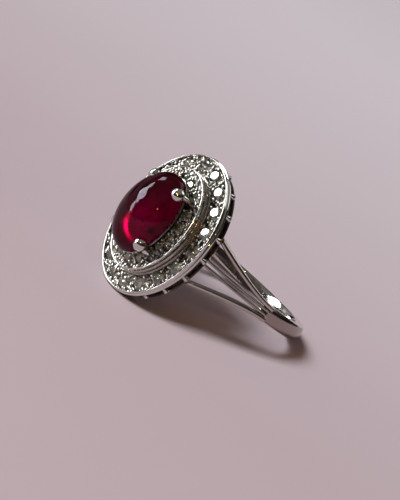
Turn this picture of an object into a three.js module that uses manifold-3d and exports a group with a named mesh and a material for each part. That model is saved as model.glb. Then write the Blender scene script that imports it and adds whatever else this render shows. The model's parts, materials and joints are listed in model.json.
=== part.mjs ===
// Cocktail ring: a high oval ruby cabochon in four claws, over two oval tiers of diamonds, on a
// shank whose shoulders split into four slim wires each.
//
// Millimetres. The ring is built on its own axes: X across the finger, Y along the finger and Z out
// through the head, with the centre of the finger hole at the origin. Last of all it is laid down
// the way it lies on a table, on the lower end of its rim and the back of its shank.

import * as THREE from 'three';
import { ConvexGeometry } from 'three/addons/geometries/ConvexGeometry.js';
import { mergeVertices } from 'three/addons/utils/BufferGeometryUtils.js';
import Module from 'manifold-3d';

const wasm = await Module();
wasm.setup();

// ---- Driving dimensions ------------------------------------------------------------------------

const GAP = 0.05; // clearance between pieces that are soldered or set against each other

// Finger hole and shank
const HOLE_RADIUS = 8.5;
const SHANK_THICK = 1.3;
const SHANK_WIDTH = 1.7;
const SHOULDER_ANGLE = 84; // degrees from the head at which the shank splits into wires

// Shoulder wires
const SHOULDER_TOP_ANGLE = 32; // degrees, past the gallery rail, where the ends are trimmed level
const SHOULDER_LIFT = 1.25; // how far the wires leave the finger circle by the time they reach the head
const WIRE_DEPTH = 1.05;
const OUTER_WIRE = { width: 0.46, atShank: 0.65, atHead: 2.8, straightness: 1.6 };
const CENTRE_WIRE = { width: 0.3, atShank: 0.22, atHead: 0.28, straightness: 1 };

// Head, measured from the rim plane, which is HEAD_HEIGHT above the centre of the finger hole
const HEAD_HEIGHT = 10.5;
const RIM = { across: 6.95, along: 8.05 }; // half-axes of the outer edge
const RIM_DEPTH = 0.65;
const RIM_WIRE = 0.22;
const TIER_RISE = 1.25; // top of the inner tier over the rim plane
const TIER_EDGE = { across: 4.95, along: 6.0 };
const TIER_WIRE = 0.28;
const TIER_WIRE_LEVELS = { lower: 0.06, upper: 0.6 };
const PLATE_THICK = 0.42;
const PLATE_EDGE = 0.06; // easing on the plates' and the rim wire's edges
const OUTER_OPENING = { across: 3.3, along: 4.15 }; // openings under the ruby
const INNER_OPENING = { across: 2.85, along: 3.92 };
const TIER_WALL_THICK = 0.4;

// Gallery under the head
const GALLERY_INSET = 0.5;
const GALLERY_WALL = 0.36;
const GALLERY_DEPTH = 1.94; // underside of the gallery rail, below the rim plane
const RAIL_HEIGHT = 0.4;
const RAIL_PROUD = 0.05; // how far the rail stands out past the arcade on both sides
const ARCHES = 18;
const ARCH = { width: 1.86, height: 0.66, liner: 0.12 }; // liner: metal left behind each arch

// Stones
const RUBY = { across: 3.25, along: 4.45, girdle: 2.2, dome: 2.78, base: 0.22 };
const OUTER_STONES = { count: 18, diameter: 1.56, inset: 1.13 }; // the first one stands on +X
const INNER_STONES = { sides: 4, ends: 4, diameter: 1.22, inset: 1.32, clawRoom: 1.02 };
// Collar under the ruby: lip, neck, flange and bore are shares of the ruby's girdle
const COLLET = { lip: 0.94, neck: 0.84, flange: 1.08, bore: 0.72, flangeRise: 0.3, lipRise: 0.3 };
// clear is how far the stem stands off the girdle, tip how far out its button is from the girdle
const CLAW = { angle: 40.5, stem: 0.3, clear: 0.1, button: 0.7, flat: 0.84, tip: 0.25, reach: 0.62 };

const degrees = THREE.MathUtils.degToRad;
const OVAL_STEPS = 24; // steps in each half of an oval

// ---- Finishes ----------------------------------------------------------------------------------

function metal(color, roughness) {
  return new THREE.MeshStandardMaterial({ color, roughness, metalness: 1 });
}

function gem(color) {
  return new THREE.MeshStandardMaterial({ color, roughness: 0.05, metalness: 0 });
}

// ---- Solids ------------------------------------------------------------------------------------

function solidOf(geometry) {
  const bare = geometry.clone();
  bare.deleteAttribute('normal');
  bare.deleteAttribute('uv');
  const closed = mergeVertices(bare, 1e-5);
  const vertProperties = Float32Array.from(closed.attributes.position.array);
  const triVerts = Uint32Array.from(closed.index.array);
  return new wasm.Manifold(new wasm.Mesh({ numProp: 3, vertProperties, triVerts }));
}

function geometryOf(solid) {
  const mesh = solid.getMesh();
  const geometry = new THREE.BufferGeometry();
  geometry.setAttribute('position', new THREE.BufferAttribute(mesh.vertProperties, 3));
  geometry.setIndex(new THREE.BufferAttribute(mesh.triVerts, 1));
  return geometry;
}

// ---- Ovals -------------------------------------------------------------------------------------

function grown(oval, by) {
  return { across: oval.across + by, along: oval.along + by };
}

function ovalPath(oval) {
  return new THREE.Shape().absellipse(0, 0, oval.across, oval.along, 0, 2 * Math.PI, false, 0);
}

// A flat oval hoop from bottom to top, its edges eased by edge.
function ovalHoop(outer, inner, bottom, top, edge) {
  const shape = ovalPath(grown(outer, -edge));
  shape.holes.push(ovalPath(grown(inner, edge)));
  const hoop = new THREE.ExtrudeGeometry(shape, {
    depth: top - bottom - 2 * edge,
    bevelEnabled: edge > 0,
    bevelThickness: edge,
    bevelSize: edge,
    bevelSegments: 1,
    curveSegments: OVAL_STEPS,
  });
  return hoop.translate(0, 0, bottom + edge);
}

// Places on an oval: point(length) and outward heading at a distance run along it from +X.
class OvalTrack {
  constructor(oval) {
    this.curve = new THREE.EllipseCurve(0, 0, oval.across, oval.along, 0, 2 * Math.PI);
    this.curve.arcLengthDivisions = 720;
    this.length = this.curve.getLength();
  }

  place(distance) {
    const u = THREE.MathUtils.euclideanModulo(distance / this.length, 1);
    const at = this.curve.getPointAt(u);
    const along = this.curve.getTangentAt(u);
    return { x: at.x, y: at.y, heading: Math.atan2(-along.x, along.y) };
  }

  // Distance along the oval of the point at a parametric angle, 0 on +X.
  distanceTo(angle) {
    const lengths = this.curve.getLengths();
    const step = (angle / (2 * Math.PI)) * this.curve.arcLengthDivisions;
    return lengths[Math.round(step)];
  }
}

// ---- Shank and shoulder wires ------------------------------------------------------------------

// A path round the finger. Sections on it keep one axis pointing away from the finger.
class FingerPath extends THREE.Curve {
  constructor(pointAt) {
    super();
    this.pointAt = pointAt;
  }

  getPoint(t, target = new THREE.Vector3()) {
    return target.copy(this.pointAt(t));
  }

  computeFrenetFrames(segments) {
    const frames = { tangents: [], normals: [], binormals: [] };
    for (let i = 0; i <= segments; i += 1) {
      const tangent = this.getTangentAt(i / segments);
      const outward = this.getPointAt(i / segments).setY(0);
      outward.addScaledVector(tangent, -outward.dot(tangent)).normalize();
      frames.tangents.push(tangent);
      frames.normals.push(outward);
      frames.binormals.push(new THREE.Vector3().crossVectors(tangent, outward));
    }
    return frames;
  }
}

function onFinger(angle, radius, y) {
  return new THREE.Vector3(radius * Math.sin(angle), y, radius * Math.cos(angle));
}

const CROWN = 0.36; // share of a band's depth that its rounded outer face takes up

// Flat sides, a softened inner face against the finger and a rounded outer face.
function bandSection(width, depth) {
  const half = width / 2;
  const soft = Math.min(0.14, width * 0.25);
  const crown = depth * CROWN;
  const rim = [
    [0, half - soft],
    [soft, half],
    [depth - crown, half],
    [depth - crown * 0.35, half * 0.72],
    [depth, half * 0.26],
  ];
  const points = rim.map(([x, y]) => new THREE.Vector2(x, y));
  const mirrored = rim.map(([x, y]) => new THREE.Vector2(x, -y)).reverse();
  return new THREE.Shape([...points, ...mirrored]);
}

function bandAlong(pointAt, width, depth, steps) {
  return new THREE.ExtrudeGeometry(bandSection(width, depth), {
    steps,
    bevelEnabled: false,
    extrudePath: new FingerPath(pointAt),
  });
}

function shankBand() {
  const start = degrees(SHOULDER_ANGLE);
  const sweep = 2 * (Math.PI - start);
  return bandAlong((t) => onFinger(start + t * sweep, HOLE_RADIUS, 0), SHANK_WIDTH, SHANK_THICK, 40);
}

// One wire from the shank up to the underside of the gallery rail. side is +1 or -1 along X, and
// lie is +1 or -1 along Y.
function shoulderWire(wire, side, lie) {
  const bottom = degrees(SHOULDER_ANGLE) - GAP / HOLE_RADIUS;
  const top = degrees(SHOULDER_TOP_ANGLE);
  const pointAt = (t) => {
    const toHead = 1 - t;
    const spread = wire.atShank + (wire.atHead - wire.atShank) * toHead ** wire.straightness;
    const radius = HOLE_RADIUS + 0.02 + SHOULDER_LIFT * toHead ** 2;
    const angle = top + t * (bottom - top);
    return onFinger(side * angle, radius, lie * spread);
  };
  const whole = solidOf(bandAlong(pointAt, wire.width, WIRE_DEPTH, 10));
  const trim = new THREE.BoxGeometry(40, 40, 10);
  trim.translate(0, 0, HEAD_HEIGHT - GALLERY_DEPTH - GAP + 5);
  return geometryOf(whole.subtract(solidOf(trim)));
}

// ---- Stones and their seats --------------------------------------------------------------------

// A round brilliant with its girdle at z = 0: an eight-sided table and a twelve-sided girdle.
function brilliant(diameter) {
  const points = [new THREE.Vector3(0, 0, -0.42 * diameter)];
  for (let i = 0; i < 8; i += 1) {
    const angle = (i / 8) * 2 * Math.PI;
    points.push(new THREE.Vector3(
      0.29 * diameter * Math.cos(angle),
      0.29 * diameter * Math.sin(angle),
      0.15 * diameter,
    ));
  }
  for (let i = 0; i < 12; i += 1) {
    const angle = ((i + 0.5) / 12) * 2 * Math.PI;
    points.push(new THREE.Vector3(
      0.5 * diameter * Math.cos(angle),
      0.5 * diameter * Math.sin(angle),
      0,
    ));
  }
  return new ConvexGeometry(points);
}

// The tapered hole that a stone sits in, from just over the plate's top to just under its bottom.
function seatCut(diameter, top, bottom) {
  const slope = 0.5 / 0.42;
  const narrow = 0.5 * diameter - (top - bottom) * slope + GAP;
  const past = 0.02;
  const cut = new THREE.CylinderGeometry(
    0.5 * diameter + GAP,
    Math.max(narrow, 0.12),
    top - bottom + 2 * past,
    10,
  );
  return cut.rotateX(Math.PI / 2).translate(0, 0, (top + bottom) / 2);
}

function withSeats(plate, places, diameter, top, bottom) {
  let solid = solidOf(plate);
  for (const { x, y, heading } of places) {
    const cut = seatCut(diameter, top, bottom).rotateZ(heading).translate(x, y, 0);
    solid = solid.subtract(solidOf(cut));
  }
  return geometryOf(solid);
}

const OUTER_TRACK = new OvalTrack(grown(RIM, -OUTER_STONES.inset));
const INNER_TRACK = new OvalTrack(grown(TIER_EDGE, -INNER_STONES.inset));
const CLAW_ANGLES = [
  degrees(CLAW.angle),
  degrees(180 - CLAW.angle),
  degrees(180 + CLAW.angle),
  degrees(360 - CLAW.angle),
];

function outerPlaces() {
  const pitch = OUTER_TRACK.length / OUTER_STONES.count;
  return Array.from({ length: OUTER_STONES.count }, (_, i) => OUTER_TRACK.place(i * pitch));
}

// The inner stones fill the four stretches between the claws, with room left beside each claw.
function innerPlaces() {
  const places = [];
  CLAW_ANGLES.forEach((angle, i) => {
    const from = INNER_TRACK.distanceTo(angle) + INNER_STONES.clawRoom;
    const next = CLAW_ANGLES[(i + 1) % 4];
    const round = i === 3 ? INNER_TRACK.length : 0;
    const to = INNER_TRACK.distanceTo(next) + round - INNER_STONES.clawRoom;
    const count = i % 2 === 0 ? INNER_STONES.ends : INNER_STONES.sides;
    for (let k = 0; k < count; k += 1) {
      places.push(INNER_TRACK.place(from + (k / (count - 1)) * (to - from)));
    }
  });
  return places;
}

// ---- Ruby and its setting ----------------------------------------------------------------------

// The cabochon: a flat base, a short bevel up to the girdle and a high dome. grow thickens it.
function rubyCabochon(grow = 0) {
  const { girdle, dome, base } = RUBY;
  const profile = [
    new THREE.Vector2(0, girdle - base - grow),
    new THREE.Vector2(0.9, girdle - base - grow),
    new THREE.Vector2(1, girdle),
  ];
  const rows = 8;
  for (let i = 1; i < rows; i += 1) {
    const rise = (i / rows) * (Math.PI / 2);
    profile.push(new THREE.Vector2(Math.cos(rise) ** 0.94, girdle + (dome + grow) * Math.sin(rise)));
  }
  profile.push(new THREE.Vector2(0, girdle + dome + grow));
  const stone = new THREE.LatheGeometry(profile, 36).rotateX(Math.PI / 2);
  return stone.scale(RUBY.across + grow, RUBY.along + grow, 1);
}

// The tapered oval collar under the ruby.
function rubyCollet() {
  const top = RUBY.girdle - RUBY.base - GAP;
  const foot = -RIM_DEPTH + PLATE_THICK + GAP;
  const { lip, neck, flange, bore } = COLLET;
  const profile = [
    [neck, foot],
    [flange, foot],
    [flange, foot + COLLET.flangeRise],
    [neck, foot + 2 * COLLET.flangeRise],
    [neck, TIER_RISE + GAP],
    [lip, top - COLLET.lipRise],
    [lip, top],
    [bore, top],
    [bore, foot + COLLET.flangeRise],
    [neck, foot],
  ];
  const points = profile.map(([x, y]) => new THREE.Vector2(x, y));
  const collar = new THREE.LatheGeometry(points, 36).rotateX(Math.PI / 2);
  return collar.scale(RUBY.across, RUBY.along, 1);
}

// A claw stands on the inner plate outside the ruby's girdle and leans over it to a round button.
function claw(angle) {
  const girdle = new THREE.Vector3(
    RUBY.across * Math.cos(angle),
    RUBY.along * Math.sin(angle),
    0,
  );
  const outward = new THREE.Vector3(
    Math.cos(angle) / RUBY.across,
    Math.sin(angle) / RUBY.along,
    0,
  ).normalize();
  const at = (out, z) => girdle.clone().addScaledVector(outward, out).setZ(z);
  const foot = TIER_RISE + GAP;
  const { stem, clear, tip, reach } = CLAW;
  const path = new THREE.CatmullRomCurve3([
    at(stem + clear, foot),
    at(stem + clear, RUBY.girdle),
    at(stem + clear * 0.5, RUBY.girdle + reach * 0.6),
    at(tip, RUBY.girdle + reach),
  ]);
  const round = new THREE.Shape().absarc(0, 0, stem, 0, 2 * Math.PI, false);
  const post = new THREE.ExtrudeGeometry(round, {
    steps: 5,
    curveSegments: 4,
    bevelEnabled: false,
    extrudePath: path,
  });
  const button = new THREE.SphereGeometry(CLAW.button, 10, 6).rotateX(Math.PI / 2);
  button.scale(1, 1, CLAW.flat);
  const facing = outward.clone().setZ(1).normalize();
  const turn = new THREE.Quaternion().setFromUnitVectors(new THREE.Vector3(0, 0, 1), facing);
  const end = at(tip, RUBY.girdle + reach);
  button.applyQuaternion(turn).translate(end.x, end.y, end.z);
  const whole = solidOf(post).add(solidOf(button));
  return geometryOf(whole.subtract(solidOf(rubyCabochon(GAP))));
}

// ---- Gallery -----------------------------------------------------------------------------------

// An oval wall with a blind arch sunk in its outside below each outer stone.
function galleryArcade() {
  const outer = grown(RIM, -GALLERY_INSET);
  const top = -RIM_DEPTH - GAP;
  const bottom = -GALLERY_DEPTH + RAIL_HEIGHT + GAP;
  const wall = ovalHoop(outer, grown(outer, -GALLERY_WALL), bottom, top, 0);
  const track = new OvalTrack(grown(outer, -GALLERY_WALL / 2));
  let solid = solidOf(wall);
  for (let i = 0; i < ARCHES; i += 1) {
    const { x, y, heading } = track.place(((i + 0.5) / ARCHES) * track.length);
    const arch = new THREE.CylinderGeometry(ARCH.width / 2, ARCH.width / 2, 1.4, 14);
    const out = 0.7 + ARCH.liner - GALLERY_WALL / 2;
    arch.scale(1, 1, ARCH.height / (ARCH.width / 2));
    arch.rotateZ(heading - Math.PI / 2);
    arch.translate(x + out * Math.cos(heading), y + out * Math.sin(heading), bottom);
    solid = solid.subtract(solidOf(arch));
  }
  return geometryOf(solid);
}

// ---- Assembly ----------------------------------------------------------------------------------

const PLATINUM = '#c9c6c2';
const DIAMOND = '#eef1f3';
const RUBY_RED = '#7d0a2a';

const ring = new THREE.Group();
const head = new THREE.Group();
head.position.z = HEAD_HEIGHT;
ring.add(head);

function add(group, name, geometry, material) {
  const mesh = new THREE.Mesh(geometry, material);
  mesh.name = name;
  group.add(mesh);
  return mesh;
}

add(ring, 'shank', shankBand(), metal(PLATINUM, 0.16));
for (const [sideName, side] of [['left', -1], ['right', 1]]) {
  for (const [endName, lie] of [['front', 1], ['rear', -1]]) {
    add(ring, `shoulder_outer_${sideName}_${endName}`, shoulderWire(OUTER_WIRE, side, lie),
      metal(PLATINUM, 0.16));
    add(ring, `shoulder_centre_${sideName}_${endName}`, shoulderWire(CENTRE_WIRE, side, lie),
      metal(PLATINUM, 0.16));
  }
}

const plateTop = -RIM_DEPTH + PLATE_THICK;
const outerPlate = ovalHoop(RIM, OUTER_OPENING, -RIM_DEPTH, plateTop, PLATE_EDGE);
add(head, 'outer_plate',
  withSeats(outerPlate, outerPlaces(), OUTER_STONES.diameter, plateTop, -RIM_DEPTH),
  metal(PLATINUM, 0.22));

const wireOuter = grown(RIM, -GAP);
add(head, 'rim_wire',
  ovalHoop(wireOuter, grown(wireOuter, -RIM_WIRE), plateTop + GAP, plateTop + GAP + RIM_WIRE,
    PLATE_EDGE),
  metal(PLATINUM, 0.12));

const wallOuter = grown(TIER_EDGE, -TIER_WIRE - GAP);
const tierPlateBottom = TIER_RISE - PLATE_THICK;
add(head, 'tier_wall',
  ovalHoop(wallOuter, grown(wallOuter, -TIER_WALL_THICK), plateTop + GAP, tierPlateBottom - GAP, 0),
  metal(PLATINUM, 0.22));
for (const [level, height] of Object.entries(TIER_WIRE_LEVELS)) {
  add(head, `tier_wire_${level}`,
    ovalHoop(grown(wallOuter, GAP + TIER_WIRE), grown(wallOuter, GAP), height - TIER_WIRE / 2,
      height + TIER_WIRE / 2, TIER_WIRE * 0.28),
    metal(PLATINUM, 0.14));
}

const innerPlate = ovalHoop(TIER_EDGE, INNER_OPENING, tierPlateBottom, TIER_RISE, PLATE_EDGE);
add(head, 'inner_plate',
  withSeats(innerPlate, innerPlaces(), INNER_STONES.diameter, TIER_RISE, tierPlateBottom),
  metal(PLATINUM, 0.22));

add(head, 'ruby_collet', rubyCollet(), metal(PLATINUM, 0.22));
CLAW_ANGLES.forEach((angle, i) => {
  add(head, `claw_${i + 1}`, claw(angle), metal(PLATINUM, 0.1));
});
add(head, 'gallery_arcade', galleryArcade(), metal(PLATINUM, 0.24));
const railOuter = grown(RIM, -GALLERY_INSET + RAIL_PROUD);
add(head, 'gallery_rail',
  ovalHoop(railOuter, grown(railOuter, -GALLERY_WALL - 2 * RAIL_PROUD), -GALLERY_DEPTH,
    -GALLERY_DEPTH + RAIL_HEIGHT, RAIL_HEIGHT / 4),
  metal(PLATINUM, 0.18));
add(head, 'ruby', rubyCabochon(), gem(RUBY_RED));

function addStones(prefix, places, diameter, girdle) {
  places.forEach(({ x, y, heading }, i) => {
    const name = `${prefix}_${String(i + 1).padStart(2, '0')}`;
    const stone = add(head, name, brilliant(diameter), gem(DIAMOND));
    stone.position.set(x, y, girdle);
    stone.rotation.z = heading;
  });
}

addStones('diamond_outer', outerPlaces(), OUTER_STONES.diameter, plateTop);
addStones('diamond_inner', innerPlaces(), INNER_STONES.diameter, TIER_RISE);

// Lie the ring down: the lower end of the outer plate and the side of the shank's back touch the
// same level surface.
const tilt = Math.atan2(
  RIM.along - SHANK_WIDTH / 2,
  HEAD_HEIGHT - RIM_DEPTH + PLATE_EDGE + HOLE_RADIUS + SHANK_THICK * (1 - CROWN),
);
ring.rotation.x = Math.PI / 2 - tilt;
const assembly = new THREE.Group();
assembly.add(ring);
assembly.updateMatrixWorld(true);
const box = new THREE.Box3().setFromObject(assembly, true);
const centre = box.getCenter(new THREE.Vector3());
ring.position.set(-centre.x, -centre.y, -box.min.z);

export default assembly;
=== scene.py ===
"""Looks for the cocktail ring: a ruby cabochon in claws over two pave-set oval tiers.

Every piece is drawn on the ring's own axes in millimetres: X across the finger, Y along it and Z
out through the head, with the centre of the finger hole at the origin. `piece` then puts it where
the CAD model stands, in metres. Heights inside the head are measured from the rim plane. Angles are
in degrees, and an oval is given by its half widths, across and along the finger.
"""

import json
import math
import random

import bmesh
import bpy
import numpy as np
from mathutils import Matrix, Vector


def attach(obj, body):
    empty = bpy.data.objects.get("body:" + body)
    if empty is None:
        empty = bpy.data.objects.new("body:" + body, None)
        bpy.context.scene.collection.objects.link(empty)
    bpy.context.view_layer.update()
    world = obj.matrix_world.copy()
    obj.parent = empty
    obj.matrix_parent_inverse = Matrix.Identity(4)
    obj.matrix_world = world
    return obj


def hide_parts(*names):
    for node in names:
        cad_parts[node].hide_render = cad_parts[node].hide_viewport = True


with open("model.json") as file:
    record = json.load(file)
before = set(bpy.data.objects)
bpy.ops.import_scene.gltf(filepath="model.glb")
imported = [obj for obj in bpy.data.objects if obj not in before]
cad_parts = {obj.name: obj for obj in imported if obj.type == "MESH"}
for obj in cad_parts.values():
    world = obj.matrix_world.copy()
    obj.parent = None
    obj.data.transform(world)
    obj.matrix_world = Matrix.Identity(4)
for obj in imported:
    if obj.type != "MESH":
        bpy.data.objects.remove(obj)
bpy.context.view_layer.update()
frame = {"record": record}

# ---- The ring's own axes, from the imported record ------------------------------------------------

MM = 0.001
finger = next(m for m in frame["record"]["mounts"] if m["name"] == "finger")
HOLE_CENTRE = Vector(finger["pos_m"])
ALONG = Vector(finger["axis"]).normalized()
ACROSS = Vector((1, 0, 0))
OUT = ACROSS.cross(ALONG)
AXES = Matrix((ACROSS, ALONG, OUT)).transposed()

# ---- Sizes, in millimetres ----------------------------------------------------------------------

HOLE_RADIUS = 8.5
SHANK_WIDTH = 1.7
SHANK_THICK = 1.3
SHOULDER_ANGLE = 84.0  # from the middle of the head round to where the wires begin
SHOULDER_TOP_ANGLE = 32.0
SHOULDER_LIFT = 1.25  # how far the wires have left the finger by the time they reach the head
WIRE_DEPTH = 1.05
OUTER_WIRE = {"width": 0.54, "at_shank": 0.65, "at_head": 2.8, "straightness": 1.6}
CENTRE_WIRE = {"width": 0.3, "at_shank": 0.22, "at_head": 0.28, "straightness": 1.0}

HEAD_HEIGHT = 10.5  # of the rim plane
RIM = (6.95, 8.05)
RIM_DEPTH = 0.65
RIM_POLISHED = 0.2  # width of the polished edge
OUTER_TOP = 0.02
OUTER_OPENING = 3.3
OUTER_GIRDLE = -0.15
TIER_EDGE = (4.95, 6.0)
TIER_RISE = 1.25
TIER_POLISHED = 0.13
INNER_OPENING = 2.85

OUTER_COUNT = 18
OUTER_STONE = 1.56
OUTER_INSET = 1.13
OUTER_LEAN = 11.5
INNER_PER_STRETCH = 4
INNER_STONE = 1.22
INNER_INSET = 1.32
INNER_LEAN = 8.0
# How far some inner stones lean along the row, by number
INNER_SLIPS = {1: -7.0, 2: -3.2, 11: -5.0, 12: -8.0, 13: -4.0, 15: 6.0, 16: 5.0}
LOOSENESS = 1.6  # how far chance may tip any stone
OUTER_GRAIN = 0.155  # radius of a bead
INNER_GRAIN = 0.125
GRAIN_ANGLE = 44  # from the row to a bead, seen from the middle of its stone
GRAIN_WANDER = 7
GRAIN_HEIGHT = 0.11
WEB_GRAIN_HEIGHT = 0.04
WIDEST_WEB = 0.7
MILGRAIN = 0.08  # radius of a bead in the row round the stepped wall
MILGRAIN_PITCH = 0.18

CLAW_ROOM = 1.02  # along the inner row, from a claw to the middle of the next stone
CLAW_ANGLE = 41.0
# Middle of each claw's button, and its radius: they were pushed over by hand, and lie unevenly
CLAW_BUTTONS = [
    (2.41, 3.18, 3.12, 0.71),
    (-2.56, 3.03, 2.9, 0.62),
    (-2.68, -2.85, 2.6, 0.6),
    (2.72, -2.85, 2.86, 0.7),
]
# A claw's stem from foot to button: outward of the button, share of the rise, and radius
CLAW_STEM = [
    (0.34, 0.0, 0.33),
    (0.34, 0.2, 0.28),
    (0.33, 0.45, 0.26),
    (0.26, 0.7, 0.27),
    (0.08, 0.95, 0.3),
]

RUBY = (3.25, 4.6)
RUBY_GIRDLE = 2.2
RUBY_DOME = 2.78
RUBY_DOME_FULLNESS = 0.96
RUBY_BEVEL = 0.22
RUBY_BACK = 0.12
# A dark fleck in the dome, and the crescent of painted glow low down, from the finger hole's centre
RUBY_FLECK = (2.92, -1.1, HEAD_HEIGHT + 3.21)
CENTRE_OF_PAINTED_GLOW = (0.35, -1.15, HEAD_HEIGHT + RUBY_GIRDLE - RUBY_BEVEL)
RADIUS_OF_PAINTED_GLOW = 1.4
COLLET_GAP = 0.03
COLLET_FOOT = -0.18

ARCHES = 18
ARCH_WIDTH = 1.86
ARCH_HEIGHT = 0.82
ARCH_DEPTH = 0.24
GALLERY_DEPTH = 1.94
GALLERY_INSET = 0.5
GALLERY_WALL = 0.4
GALLERY_FOOT = 0.32  # of the arches, above the bottom of the base rail
GALLERY_RAIL = (0.42, 0.3)  # width and height
GALLERY_RAIL_INSET = 0.47
OVERLAP = 0.02  # where one piece runs into the next


# ---- Placing pieces -----------------------------------------------------------------------------


def to_scene(points, lift=0.0):
    """Points on the ring's axes, in mm, as points in the scene, in metres."""
    basis = np.array(AXES)
    local = np.asarray(points, float) + (0, 0, lift)
    return local @ basis.T * MM + np.array(HOLE_CENTRE)


def mesh_of(points, faces):
    """A mesh with all its faces turned outward."""
    mesh = bpy.data.meshes.new("mesh")
    mesh.from_pydata([tuple(p) for p in points], [], [tuple(f) for f in faces])
    work = bmesh.new()
    work.from_mesh(mesh)
    bmesh.ops.recalc_face_normals(work, faces=work.faces)
    work.to_mesh(mesh)
    work.free()
    return mesh


def piece(name, shape, material, nodes, sharp=40, lift=0.0):
    """One piece of the ring, standing for the CAD nodes. shape is (points, faces) in mm.

    Edges sharper than `sharp` stay crisp, and where it is 0 every face is flat.
    """
    points, faces = shape
    mesh = mesh_of(to_scene(points, lift), faces)
    mesh.name = name
    mesh.materials.append(material)
    mesh.shade_smooth()
    if sharp:
        mesh.set_sharp_from_angle(angle=math.radians(sharp))
    else:
        mesh.shade_flat()
    obj = bpy.data.objects.new(name, mesh)
    bpy.context.scene.collection.objects.link(obj)
    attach(obj, "root")
    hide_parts(*nodes)
    return obj


def head_metal(name, shape, material, node, sharp=40):
    """A metal piece of the head, drawn with the rim plane at height 0."""
    return piece(name, shape, material, [node], sharp, HEAD_HEIGHT)


def refinish(obj, material, wants):
    """Gives obj's faces another material where wants(place, facing) holds, both on ring axes."""
    obj.data.materials.append(material)
    back = AXES.transposed()
    for face in obj.data.polygons:
        if wants((back @ (face.center - HOLE_CENTRE)) / MM, back @ face.normal):
            face.material_index = len(obj.data.materials) - 1


def within(oval, at):
    """Whether a place is within an upright oval wall about the head's axis."""
    return (at.x / oval[0]) ** 2 + (at.y / oval[1]) ** 2 <= 1


def faces_in(at, facing):
    """Whether a face looks towards the head's axis."""
    return facing.x * at.x + facing.y * at.y < 0


def faces_down(facing, least=0.5):
    """Whether a face looks towards the finger, by at least that share."""
    return facing.z < -least


# ---- Shapes -------------------------------------------------------------------------------------


def joined(shapes):
    """Several shapes as one."""
    points, faces, start = [], [], 0
    for p, f in shapes:
        points.extend(p)
        faces.extend([tuple(start + i for i in face) for face in f])
        start += len(p)
    return points, faces


def moved(shape, matrix):
    points, faces = shape
    grid = np.array(matrix)
    moved_points = np.asarray(points, float) @ grid[:3, :3].T + grid[:3, 3]
    return [tuple(p) for p in moved_points], faces


def cut(shape, cutters):
    """The shape less all the cutters."""
    made = []
    for source in (shape, joined(cutters)):
        obj = bpy.data.objects.new("work", mesh_of(*source))
        bpy.context.scene.collection.objects.link(obj)
        made.append(obj)
    whole, tool = made
    step = whole.modifiers.new("cut", "BOOLEAN")
    step.operation = "DIFFERENCE"
    step.solver = "EXACT"
    step.object = tool
    bpy.context.view_layer.update()
    result = whole.evaluated_get(bpy.context.evaluated_depsgraph_get()).to_mesh()
    points = [tuple(v.co) for v in result.vertices]
    faces = [tuple(p.vertices) for p in result.polygons]
    for obj in made:
        bpy.data.objects.remove(obj)
    return points, faces


def smooth_profile(corners, radius, steps=3):
    """A closed outline with each corner rounded. Corners are (outward, height)."""
    longest_share = 0.45  # of the edge beside a corner, so that two roundings never meet
    out = []
    count = len(corners)
    for i, corner in enumerate(corners):
        here = np.array(corner, float)
        before = np.array(corners[i - 1], float)
        after = np.array(corners[(i + 1) % count], float)
        to_before, to_after = before - here, after - here
        reach_a = min(radius, longest_share * np.linalg.norm(to_before))
        reach_b = min(radius, longest_share * np.linalg.norm(to_after))
        a = here + to_before / np.linalg.norm(to_before) * reach_a
        b = here + to_after / np.linalg.norm(to_after) * reach_b
        for k in range(steps + 1):
            t = k / steps
            out.append(tuple((1 - t) ** 2 * a + 2 * t * (1 - t) * here + t * t * b))
    return out


def hoop(oval, profile, steps=160):
    """An oval ring whose section is the closed profile of (outward, height) points."""
    points, faces = [], []
    n = len(profile)
    for i in range(steps):
        angle = 2 * math.pi * i / steps
        c, s = math.cos(angle), math.sin(angle)
        points += [((oval[0] + d) * c, (oval[1] + d) * s, z) for d, z in profile]
    for i in range(steps):
        j = (i + 1) % steps
        for k in range(n):
            m = (k + 1) % n
            faces.append((i * n + k, j * n + k, j * n + m, i * n + m))
    return points, faces


def lathe(profile, steps=24, scale=(1.0, 1.0)):
    """A solid of revolution about Z. profile is (radius, height) from bottom axis to top axis."""
    rings = [p for p in profile if p[0] > 0]
    bottom, top = profile[0][1], profile[-1][1]
    points = [(0, 0, bottom), (0, 0, top)]
    for r, z in rings:
        for i in range(steps):
            a = 2 * math.pi * i / steps
            points.append((r * scale[0] * math.cos(a), r * scale[1] * math.sin(a), z))

    def at(ring, i):
        return 2 + ring * steps + i % steps

    faces = []
    for i in range(steps):
        faces.append((0, at(0, i + 1), at(0, i)))
        faces.append((1, at(len(rings) - 1, i), at(len(rings) - 1, i + 1)))
        for k in range(len(rings) - 1):
            faces.append((at(k, i), at(k, i + 1), at(k + 1, i + 1), at(k + 1, i)))
    return points, faces


def skin(outlines):
    """A closed bar through a row of outlines, which all have the same number of points."""
    points = [tuple(p) for outline in outlines for p in outline]
    faces = []
    n, last = len(outlines[0]), len(outlines) - 1
    for i in range(last):
        for k in range(n):
            m = (k + 1) % n
            faces.append((i * n + k, (i + 1) * n + k, (i + 1) * n + m, i * n + m))
    faces.append(tuple(range(n)))
    faces.append(tuple(last * n + k for k in reversed(range(n))))
    return points, faces


def ball(centre, radius, squash=1.0, up=(0, 0, 1), detail=2):
    """A small bead of metal."""
    work = bmesh.new()
    bmesh.ops.create_icosphere(work, subdivisions=detail, radius=1)
    points = np.array([v.co for v in work.verts])
    faces = [tuple(v.index for v in f.verts) for f in work.faces]
    work.free()
    points = points * (radius, radius, radius * squash)
    turn = Vector((0, 0, 1)).rotation_difference(Vector(up)).to_matrix()
    return [tuple(p) for p in points @ np.array(turn).T + np.array(centre)], faces


# ---- Rows of stones -----------------------------------------------------------------------------


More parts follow.
